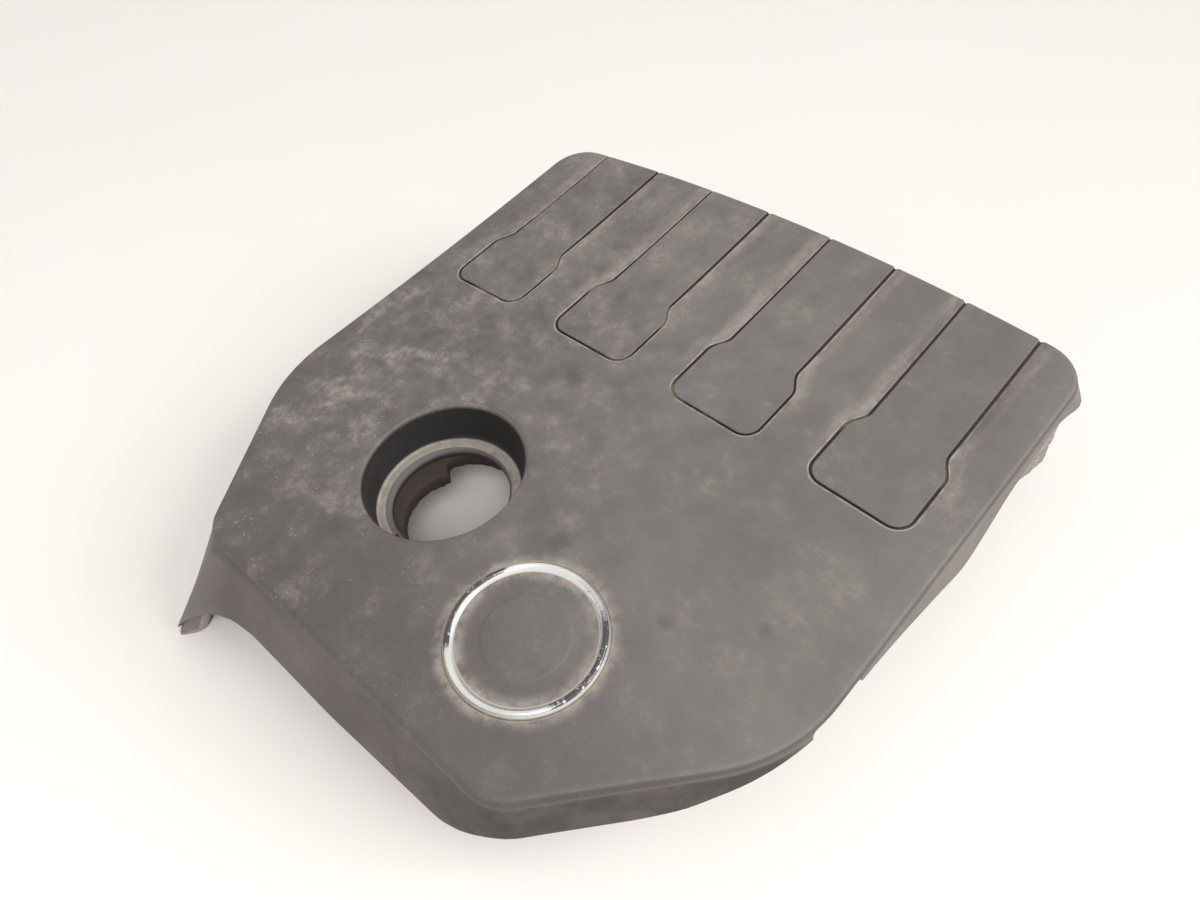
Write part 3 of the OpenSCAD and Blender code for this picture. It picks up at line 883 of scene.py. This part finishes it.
class Wire:
    def __init__(self, bench, socket):
        self.bench = bench
        self.socket = socket

    def __add__(self, other):
        return self.bench.maths("ADD", self, other)

    def __sub__(self, other):
        return self.bench.maths("SUBTRACT", self, other)

    def __rsub__(self, other):
        return self.bench.maths("SUBTRACT", other, self)

    def __mul__(self, other):
        return self.bench.maths("MULTIPLY", self, other)

    def __truediv__(self, other):
        return self.bench.maths("DIVIDE", self, other)

    def __rtruediv__(self, other):
        return self.bench.maths("DIVIDE", other, self)

    __radd__ = __add__
    __rmul__ = __mul__


class Bench:
    def __init__(self, name):
        self.material = bpy.data.materials.new(name)
        self.material.use_nodes = True
        self.tree = self.material.node_tree
        self.tree.nodes.clear()
        self.place = self.node("ShaderNodeTexCoord", out="Object")

    def node(self, kind, settings=None, sockets=None, out=0):
        made = self.tree.nodes.new(kind)
        for name, value in (settings or {}).items():
            setattr(made, name, value)
        for name, value in (sockets or {}).items():
            socket = made.inputs[name]
            if isinstance(value, Wire):
                self.tree.links.new(value.socket, socket)
            else:
                socket.default_value = value
        return Wire(self, made.outputs[out])

    def maths(self, operation, a, b=0.0):
        return self.node("ShaderNodeMath", {"operation": operation}, {0: a, 1: b})

    def lowest(self, a, b):
        return self.maths("MINIMUM", a, b)

    def highest(self, a, b):
        return self.maths("MAXIMUM", a, b)

    def size(self, a):
        return self.maths("ABSOLUTE", a)

    def root(self, a):
        return self.maths("SQRT", a)

    # 0 below low, 1 above high, smooth between; high may lie below low
    def rise(self, value, low, high):
        if high < low:
            return 1 - self.rise(value, high, low)
        return self.node("ShaderNodeMapRange", {"interpolation_type": "SMOOTHSTEP"},
                         {"Value": value, "From Min": low, "From Max": high})

    def blend(self, share, a, b):
        return self.node("ShaderNodeMix", {"data_type": "RGBA"}, {0: share, 6: a, 7: b}, out=2)

    def noise(self, scale, detail, roughness, where=None):
        return self.node("ShaderNodeTexNoise", None, {
            "Vector": where or self.place, "Scale": scale, "Detail": detail,
            "Roughness": roughness})

    def mapped(self, scale, turn=(0, 0, 0)):
        return self.node("ShaderNodeMapping", None, {
            "Vector": self.place, "Rotation": turn, "Scale": scale})

    # x, y and z in millimetres
    def parts(self):
        split = self.tree.nodes.new("ShaderNodeSeparateXYZ")
        self.tree.links.new(self.place.socket, split.inputs[0])
        return tuple(Wire(self, split.outputs[k]) * 1000 for k in range(3))

    def bump(self, height, strength, distance):
        return self.node("ShaderNodeBump", None, {
            "Strength": strength, "Distance": distance, "Height": height})

    def finish(self, sockets, *pieces):
        shader = self.node("ShaderNodeBsdfPrincipled", None, sockets)
        output = self.tree.nodes.new("ShaderNodeOutputMaterial")
        self.tree.links.new(shader.socket, output.inputs["Surface"])
        for piece in pieces:
            piece.data.materials.clear()
            piece.data.materials.append(self.material)


def tone(red, green, blue):
    def linear(v):
        v /= 255
        return v / 12.92 if v <= 0.04045 else ((v + 0.055) / 1.055) ** 2.4
    return (linear(red), linear(green), linear(blue), 1)


# dusty grained plastic

plasticLook = {
    # worn is also the painted sheen towards the right and the rear of the top
    "clean": tone(92, 87, 85), "worn": tone(117, 112, 108), "dark": tone(80, 74, 73),
    "dust": tone(146, 136, 131), "paleDust": tone(178, 170, 163),
    # skirt tones: painted shade at the front and front right, painted light on the leg and the
    # right side, each with some dust
    "skirt": tone(92, 85, 83), "shadedSkirt": tone(60, 54, 51), "litDustyLegSkirt": tone(118, 112, 109),
    # lip is the painted highlight along the lower edge of the skirt
    "sideSkirt": tone(112, 107, 102), "lip": tone(172, 164, 156), "under": tone(66, 63, 62),
    "shade": tone(35, 32, 32), "collar": tone(48, 44, 41), "chamfer": tone(98, 94, 91),
    "ledge": tone(168, 160, 150), "crumbs": tone(84, 78, 72), "groove": tone(44, 40, 38),
    "dirt": tone(160, 146, 120), "smudge": tone(80, 75, 74),
    "smudges": [(-31, 32, 9, 0.7), (39, -52, 9, 0.55), (-94, -16, 7, 0.35), (-124, -13, 8, 0.3),
                (-69, -122, 15, 0.5), (108, -52, 7, 0.3), (145, -26, 6, 0.3), (-135, -29, 7, 0.3)],
}


def plasticMaterial(name, isCover, *pieces):
    look = plasticLook
    b = Bench(name)
    x, y, z = b.parts()
    s = coverSize
    share = (y + s["frontY"]) / (s["frontY"] + s["rearY"])
    height = (s["topFront"] + share * (s["rearRise"] * (1 - s["riseBend"]))
              + share * share * (s["rearRise"] * s["riseBend"])
              - x * x * (s["sideDrop"] / s["rightWidth"] ** 2))
    below = height - z

    cloudy = b.noise(11, 4, 0.6)
    patchy = b.noise(30, 5, 0.62)
    blotchy = b.noise(62, 6, 0.66)
    mottle = b.noise(140, 5, 0.7)
    fleck = b.noise(620, 2, 0.6)
    streaky = b.noise(110, 5, 0.7, where=b.mapped(scale=(1, 0.22, 1)))

    # lighter towards the right and the rear as painted sheen, with a random worn tone, blotchy and
    # dusty at the left
    leftSide = b.rise(x, 90, -130)
    frontLeft = b.rise(y, 90, -20) * leftSide
    light = b.rise(y * 0.7 + x * 0.5, -150, 90) * 0.6 + b.rise(cloudy, 0.36, 0.64) * 0.35
    uneven = 0.3 + leftSide * 0.7
    colour = b.blend(light, look["clean"], look["worn"])
    dim = b.rise(blotchy * 0.6 + patchy * 0.4, 0.5, 0.36) * uneven * 0.5
    colour = b.blend(dim, colour, look["dark"])
    dusty = (b.rise(blotchy * 0.45 + patchy * 0.55, 0.47, 0.62)
             * (0.12 + leftSide * 0.28 + frontLeft * 0.12))
    colour = b.blend(dusty * (0.4 + b.rise(mottle, 0.36, 0.6) * 0.8), colour, look["dust"])
    colour = b.blend((mottle - 0.42) * uneven * 0.8, colour, look["dust"])
    pale = b.rise(mottle * 0.5 + patchy * 0.5, 0.54, 0.66) * (0.1 + frontLeft * 0.22)
    colour = b.blend(pale, colour, look["paleDust"])
    # painted shade: the front of the top is darker
    colour = b.blend(b.rise(y, -60, -150) * 0.5, colour, look["dark"])
    flecks = b.rise(fleck, 0.62, 0.7) * b.rise(blotchy, 0.44, 0.58) * (0.12 + leftSide * 0.4)
    colour = b.blend(flecks, colour, look["paleDust"])

    for px, py, radius, strength in look["smudges"]:
        dx, dy = x - px, y - py
        away = b.root(dx * dx + dy * dy) + (patchy - 0.5) * (radius * 1.6)
        colour = b.blend(b.rise(away, radius, radius * 0.3) * strength, colour, look["smudge"])

    rough = 0.55 + cloudy * 0.08 + dusty * 0.15

    if isCover:
        f = fingerSize
        onTop = b.rise(below, 7, 3)
        # distance to the outline of the nearest finger
        slot = b.lowest(b.highest(b.maths("ROUND", x / f["pitch"] + 1.5), 0), 3)
        fromMiddle = b.size(x - (slot - 1.5) * f["pitch"])
        widened = b.rise(y, f["stepY"] + f["stepLength"], f["stepY"])
        half = widened * ((f["headWidth"] - f["width"]) / 2) + f["width"] / 2
        sideGap = fromMiddle - half
        frontGap = f["headY"] - y
        cornerX = b.highest(sideGap + f["headRadius"], 0)
        cornerY = b.highest(frontGap + f["headRadius"], 0)
        outside = b.root(cornerX * cornerX + cornerY * cornerY) - f["headRadius"]
        inner = b.lowest(b.highest(sideGap, frontGap) + f["headRadius"], 0)
        gap = outside + inner
        # dust that lies in the channels, thinning out in front of the step
        lane = b.rise(gap, 0.8, 2) * b.rise(gap, 12, 3) * b.rise(y, 60, 110)
        lane = lane * (0.35 + b.rise(streaky, 0.36, 0.6) * 0.65) * onTop
        colour = b.blend(lane * 0.55, colour, look["dust"])
        streaks = b.rise(streaky * 0.6 + mottle * 0.4, 0.46, 0.6)
        colour = b.blend(lane * streaks * 0.28, colour, look["paleDust"])
        edgeDust = (b.rise(gap, 2.3, 1.3) * b.rise(gap, 0.8, 1.1)
                    * b.rise(mottle, 0.34, 0.56) * onTop)
        colour = b.blend(edgeDust * 0.6, colour, look["paleDust"])
        # painted shade down the grooves, with packed dirt at the steps and the heads
        grooved = b.rise(b.size(gap), 1.05, 0.7) * b.rise(below, 0.2, 0.7) * b.rise(below, 6, 4)
        colour = b.blend(grooved * 0.9, colour, look["groove"])
        atStep = b.rise(b.size(y - (f["stepY"] + f["stepLength"] * 0.4)), 11, 5)
        atHead = b.rise(y, f["headY"] + 16, f["headY"] + 3) * b.rise(cloudy, 0.42, 0.58)
        packed = b.highest(atStep, atHead) * b.rise(patchy, 0.4, 0.56)
        colour = b.blend(grooved * packed * 0.8, colour, look["dirt"])

        # the well: a dark wall of cleaner plastic darkened further with painted shade, a pale dusty
        # ledge and a dark collar
        w = wellSize
        deep = b.lowest(b.highest(below / w["ledgeDepth"], 0), 1.3)
        dx, dy = x - w["x"] - deep * w["leanX"], y - w["y"] - deep * w["leanY"]
        fromWell = b.root(dx * dx + dy * dy)
        inWell = b.rise(fromWell, 50, 48) * b.rise(below, 0.5, 3.4)
        colour = b.blend(inWell, colour, look["shade"])
        onLedge = (b.rise(fromWell, 42.3, 41.2) * b.rise(fromWell, 35.6, 36.2)
                   * b.rise(below, 19.6, 21))
        colour = b.blend(onLedge * (0.8 + (mottle - 0.5) * 0.8), colour, look["ledge"])
        colour = b.blend(onLedge * b.rise(blotchy, 0.52, 0.64) * 0.5, colour, look["crumbs"])
        onChamfer = b.rise(fromWell, 36.4, 35.8) * b.rise(below, 20, 21)
        colour = b.blend(onChamfer, colour, look["chamfer"])
        colour = b.blend(onChamfer * b.rise(below, 25.4, 26.2), colour, look["collar"])

        # the skirt: painted shade and less dust make it darker than the top, darkest at the front
        # right; painted light and more dust make the leg and the right side lighter
        onSkirt = b.rise(below, 3.2, 7) * b.rise(fromWell, 52, 54)
        skirtToneAndShading = b.blend(b.rise(x, -30, 110), look["skirt"], look["shadedSkirt"])
        skirtToneAndShading = b.blend(b.rise(x, -92, -128), skirtToneAndShading, look["litDustyLegSkirt"])
        skirtToneAndShading = b.blend(b.rise(y, -72, -40) * b.rise(x, 120, 170), skirtToneAndShading, look["sideSkirt"])
        skirtToneAndShading = b.blend(b.rise(patchy, 0.4, 0.7) * 0.22, skirtToneAndShading, look["dust"])
        colour = b.blend(onSkirt, colour, skirtToneAndShading)
        # painted shade in the crease under the rounded edge at the front left
        creaseShade = (b.rise(below, 3.2, 5) * b.rise(below, 12, 7)
                  * b.rise(x, 0, -80) * b.rise(y, -60, -90))
        colour = b.blend(creaseShade * 0.4, colour, look["shadedSkirt"])
        # painted shade over the lit rounding of the edge on the right
        creaseShade = b.rise(below, 0.4, 1.2) * b.rise(below, 5, 2.6) * b.rise(x, 80, 130)
        colour = b.blend(creaseShade * 0.55, colour, look["shadedSkirt"])
        aboveEdge = b.node("ShaderNodeAttribute", {"attribute_name": "aboveEdge"}, out="Fac")
        # a painted highlight along the lower edge of the skirt
        colour = b.blend(onSkirt * b.rise(aboveEdge, 1.1, 0.4) * 0.55, colour, look["lip"])
        facing = b.node("ShaderNodeSeparateXYZ", None, {
            0: b.node("ShaderNodeNewGeometry", out="Normal")}, out="Z")
        underneath = b.rise(facing, -0.2, -0.5) * b.rise(fromWell, 37, 42)
        colour = b.blend(underneath, colour, look["under"])

    # dust halo round the badge and a thin tan line where it meets the cover
    g = badgeSize
    dx, dy = x - g["x"], y - g["y"]
    ring = b.root(dx * dx + dy * dy) - g["diameter"] / 2
    if isCover:
        halo = b.rise(ring, 7, 0.5) * b.rise(ring, -1, 0) * onTop
        edge = b.rise(b.size(ring - 0.5), 1, 0.3) * onTop
    else:
        halo = b.rise(ring, -13, -5.5)
        edge = b.rise(ring, -6.6, -5.4)
    toLeft = b.rise(dx + dy * 0.4, 30, -40) * 0.4 + 0.6
    settled = b.rise(mottle * 0.5 + blotchy * 0.5, 0.4, 0.58)
    colour = b.blend(halo * toLeft * (0.2 + settled * 0.7), colour, look["dust"])
    colour = b.blend(halo * halo * settled * toLeft * 0.5, colour, look["paleDust"])
    colour = b.blend(edge * toLeft * 0.75, colour, look["dirt"])

    grain = b.noise(1500, 2, 0.6) * 0.5 + b.noise(420, 3, 0.6) * 0.3 + mottle * 0.2
    b.finish({
        "Base Color": colour,
        "Roughness": rough,
        "Specular IOR Level": 0.36,
        "Normal": b.bump(grain, 0.4, 0.0003),
    }, *pieces)


plasticMaterial("dustyPlastic", True, cover)
plasticMaterial("dustyDisc", False, disc)
print("stage: plastic")


# pitted chrome

chromeLook = {
    "bright": tone(226, 225, 223), "grey": tone(168, 165, 164), "dark": tone(60, 56, 60),
    "pit": tone(96, 88, 82), "turn": 8,
}


# Bright edges, and a crown that is plain towards the front and the rear and dark towards the sides
# as a painted reflection, broken into speckles by painted glints
def chromeMaterial(piece):
    look, g = chromeLook, badgeSize
    b = Bench("pittedChrome")
    x, y, _ = b.parts()
    dx, dy = x - g["x"], y - g["y"]
    radius = b.root(dx * dx + dy * dy)
    across = radius - (g["diameter"] / 2 - g["bezelWidth"])
    broad = b.noise(24, 2, 0.5)
    broken = b.noise(170, 4, 0.72)
    pitted = b.noise(520, 3, 0.7)
    turn = math.radians(look["turn"])
    sideways = b.size(dx * math.cos(turn) + dy * math.sin(turn)) / radius
    crown = b.rise(across, 0.9, 1.4) * b.rise(across, 4.3, 3.8)
    # painted reflection: the crown darker towards the sides, broken by painted glints
    shade = crown * b.rise(sideways + (broad - 0.5) * 0.7 + (broken - 0.5) * 0.3, 0.68, 0.8)
    glints = b.rise(broken * 0.55 + pitted * 0.45, 0.53, 0.6)
    colour = b.blend(crown * b.rise(broad, 0.35, 0.65) * 0.5, look["bright"], look["grey"])
    colour = b.blend(shade * (0.92 - glints * 0.8), colour, look["dark"])
    pits = b.rise(pitted, 0.63, 0.7) * b.rise(broken, 0.48, 0.6)
    colour = b.blend(pits, colour, look["pit"])
    b.finish({
        "Base Color": colour,
        "Metallic": 0.8 - pits * 0.5,
        "Roughness": 0.16 + broken * 0.14 + pits * 0.4,
        "Normal": b.bump(broken * 0.6 + pits, 0.4, 0.0002),
    }, piece)


chromeMaterial(bezel)


# pressed acoustic foam

foamLook = {
    "pale": tone(168, 158, 151), "mid": tone(132, 122, 116), "dark": tone(84, 76, 71),
    "darkNearHole": tone(70, 62, 56),
}


def foamMaterial(piece):
    look = foamLook
    b = Bench("fibrousFoam")
    x, y, _ = b.parts()
    streaks = b.noise(240, 4, 0.7, where=b.mapped(scale=(0.3, 0.3, 2.6), turn=(0.35, 0, 0)))
    cells = b.noise(1100, 3, 0.7)
    clumps = b.noise(90, 4, 0.6)
    colour = b.blend(b.rise(streaks, 0.34, 0.66), look["mid"], look["pale"])
    colour = b.blend(b.rise(cells, 0.56, 0.74) * 0.55, colour, look["dark"])
    colour = b.blend(b.rise(clumps, 0.58, 0.7) * 0.6, colour, look["dark"])
    # darker near the filler opening
    dx, dy = x - wellSize["x"], y - wellSize["y"]
    nearHole = b.rise(b.root(dx * dx + dy * dy), 58, 44)
    colour = b.blend(nearHole, colour, look["darkNearHole"])
    b.finish({
        "Base Color": colour,
        "Roughness": 0.95,
        "Specular IOR Level": 0.15,
        "Normal": b.bump(cells * 0.5 + streaks * 0.5, 0.9, 0.0012),
    }, piece)


foamMaterial(foam)


# rubber of the grommets

def rubberMaterial(*pieces):
    b = Bench("grommetRubber")
    mottle = b.noise(140, 3, 0.6)
    grain = b.noise(1400, 2, 0.6)
    colour = b.blend(b.rise(mottle, 0.4, 0.7), tone(34, 33, 33), tone(52, 50, 48))
    b.finish({
        "Base Color": colour,
        "Roughness": 0.62 + mottle * 0.2,
        "Normal": b.bump(grain, 0.3, 0.0002),
    }, *pieces)


rubberMaterial(*[frame["nodes"][n] for n in sorted(frame["nodes"]) if n.endswith("grommet")])
print("stage: materials")


# pale floor, soft light and a white background

stageLook = {
    "floor": tone(250, 247, 243), "worn": tone(240, 234, 228), "floorSize": 9,
    "ambient": ((1, 0.985, 0.965, 1), 0.54), "background": ((1, 0.995, 0.985, 1), 1),
    "windowSide": (1.2, 0.85, 0.8), "window": 1.9, "windowAngle": 0.7,
    "lampPlace": (0.73, -0.59, 1.29), "lamp": 11, "lampSize": 0.6,
}


# A light that looks at the middle of the scene
def addLight(kind, name, place, energy):
    aim = (-Vector(place)).to_track_quat("-Z", "Y").to_euler()
    bpy.ops.object.light_add(type=kind, location=place, rotation=aim)
    light = bpy.context.object
    light.name = name
    light.data.energy = energy
    return light.data


def makeStage():
    look = stageLook
    choose()
    bpy.ops.mesh.primitive_grid_add(x_subdivisions=8, y_subdivisions=8, size=look["floorSize"])
    floor = bpy.context.object
    floor.name = "paleFloor"
    b = Bench("paleFloor")
    wear = b.noise(1.7, 4, 0.6)
    colour = b.blend(wear * 0.5, look["floor"], look["worn"])
    b.finish({"Base Color": colour, "Roughness": 0.7, "Specular IOR Level": 0.2}, floor)

    window = addLight("SUN", "windowLight", look["windowSide"], look["window"])
    window.angle = look["windowAngle"]
    lamp = addLight("AREA", "roomLamp", look["lampPlace"], look["lamp"])
    lamp.size = look["lampSize"]

    world = bpy.data.worlds.new("paleRoom")
    sceneNow.world = world
    world.use_nodes = True
    nodes, links = world.node_tree.nodes, world.node_tree.links
    nodes.clear()
    path = nodes.new("ShaderNodeLightPath")
    seen = path.outputs["Is Camera Ray"]
    for name in ("Is Glossy Ray", "Is Transmission Ray"):
        either = nodes.new("ShaderNodeMath")
        either.operation = "MAXIMUM"
        links.new(seen, either.inputs[0])
        links.new(path.outputs[name], either.inputs[1])
        seen = either.outputs[0]
    mix = nodes.new("ShaderNodeMixShader")
    links.new(seen, mix.inputs[0])
    for k, name in enumerate(("ambient", "background")):
        light = nodes.new("ShaderNodeBackground")
        colour, strength = look[name]
        light.inputs["Color"].default_value = colour
        light.inputs["Strength"].default_value = strength
        links.new(light.outputs[0], mix.inputs[k + 1])
    out = nodes.new("ShaderNodeOutputWorld")
    links.new(mix.outputs[0], out.inputs["Surface"])


makeStage()
print("stage: floor and light")

choose()
